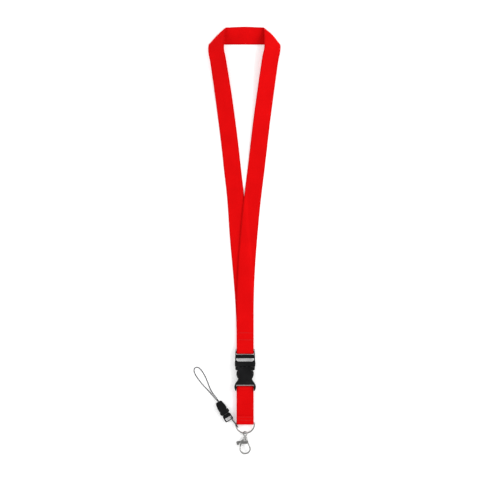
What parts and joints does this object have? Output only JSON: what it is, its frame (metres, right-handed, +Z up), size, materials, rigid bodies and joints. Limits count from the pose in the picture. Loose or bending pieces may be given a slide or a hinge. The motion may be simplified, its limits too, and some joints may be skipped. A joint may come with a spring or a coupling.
{
  "type": "lanyard",
  "caption": "Neck lanyard of flat webbing with a side-release buckle, short strap, D-ring, swivel trigger hook and a detachable phone string.",
  "frame": {"origin": "under the middle of the lanyard as it lies flat, at table height, measured without the phone cord and tether", "axes": "+Y from the hook towards the neck loop, +X to the right as seen from above, +Z up from the table"},
  "size_m": [0.1014, 0.4958, 0.008],
  "materials": {
    "webbing": "woven polyester, satin",
    "thread": "polyester sewing thread",
    "black_plastic": "fine-grained black acetal",
    "nickel": "bright nickel plate",
    "spring_steel": "plain",
    "cord": "braided polyester cord"
  },
  "bodies": {
    "strap": {"neck_strap": "webbing", "neck_strap_stitching": "thread"},
    "plug": {"buckle_plug": "black_plastic"},
    "arm_left": {"buckle_plug_arm_left": "black_plastic"},
    "arm_right": {"buckle_plug_arm_right": "black_plastic"},
    "socket": {"buckle_socket": "black_plastic"},
    "tail": {"short_strap": "webbing", "short_strap_stitching": "thread"},
    "ring": {"d_ring": "nickel"},
    "eye": {"hook_eye": "nickel"},
    "hook": {"hook_body": "nickel", "hook_gate_pin": "nickel", "hook_gate_spring": "spring_steel"},
    "gate": {"hook_gate": "nickel"},
    "tether": {"tether_cord": "cord", "tether_knot": "cord"},
    "small_plug": {"mini_plug": "black_plastic"},
    "small_arm_left": {"mini_plug_arm_left": "black_plastic"},
    "small_arm_right": {"mini_plug_arm_right": "black_plastic"},
    "small_socket": {"mini_socket": "black_plastic", "phone_cord": "cord", "phone_cord_knot": "cord"}
  },
  "joints": [
    {"name": "buckle_swing", "type": "hinge", "parent": "strap", "child": "plug", "pos_m": [0, -0.1293, 0.004], "axis": [-1, 0, 0], "range_deg": [0, 40]},
    {"name": "arm_left_squeeze", "type": "hinge", "parent": "plug", "child": "arm_left", "pos_m": [-0.0048, -0.1459, 0.004], "axis": [0, 0, 1], "range_deg": [0, 18], "stiffness_Nm_per_rad": 0.15},
    {"name": "arm_right_squeeze", "type": "hinge", "parent": "plug", "child": "arm_right", "pos_m": [0.0048, -0.1459, 0.004], "axis": [0, 0, -1], "range_deg": [0, 18], "stiffness_Nm_per_rad": 0.15},
    {"name": "buckle_release", "type": "slide", "parent": "plug", "child": "socket", "axis": [0, -1, 0], "range_m": [0, 0.022], "deforming": ["buckle_plug_arm_left", "buckle_plug_arm_right"]},
    {"name": "tail_swing", "type": "hinge", "parent": "socket", "child": "tail", "pos_m": [0, -0.1704, 0.004], "axis": [-1, 0, 0], "range_deg": [0, 40]},
    {"name": "ring_swing", "type": "hinge", "parent": "tail", "child": "ring", "pos_m": [0, -0.2114, 0.0026], "axis": [-1, 0, 0], "range_deg": [0, 60]},
    {"name": "eye_swing", "type": "hinge", "parent": "ring", "child": "eye", "pos_m": [0, -0.2233, 0.0026], "axis": [-1, 0, 0], "range_deg": [0, 50]},
    {"name": "hook_swivel", "type": "hinge", "parent": "eye", "child": "hook", "pos_m": [0, -0.23, 0.0026], "axis": [0, 1, 0], "continuous": true},
    {"name": "gate_open", "type": "hinge", "parent": "hook", "child": "gate", "pos_m": [-0.0037, -0.2337, 0.0026], "axis": [0, 0, 1], "range_deg": [0, 30], "stiffness_Nm_per_rad": 0.02, "springref_deg": -11.46},
    {"name": "tether_swing", "type": "hinge", "parent": "ring", "child": "tether", "pos_m": [-0.0085, -0.216, 0.0026], "axis": [0, 0, 1], "range_deg": [0, 80]},
    {"name": "small_buckle_swing", "type": "hinge", "parent": "tether", "child": "small_plug", "pos_m": [-0.01658, -0.20534, 0.0024], "axis": [0, 0, 1], "range_deg": [-20, 40]},
    {"name": "small_arm_left_squeeze", "type": "hinge", "parent": "small_plug", "child": "small_arm_left", "pos_m": [-0.02426, -0.20261, 0.0024], "axis": [0, 0, -1], "range_deg": [0, 16], "stiffness_Nm_per_rad": 0.05},
    {"name": "small_arm_right_squeeze", "type": "hinge", "parent": "small_plug", "child": "small_arm_right", "pos_m": [-0.02017, -0.20009, 0.0024], "axis": [0, 0, 1], "range_deg": [0, 16], "stiffness_Nm_per_rad": 0.05},
    {"name": "small_buckle_release", "type": "slide", "parent": "small_plug", "child": "small_socket", "axis": [-0.5255, 0.8508, 0], "range_m": [0, 0.0095], "deforming": ["mini_plug_arm_left", "mini_plug_arm_right"]}
  ]
}
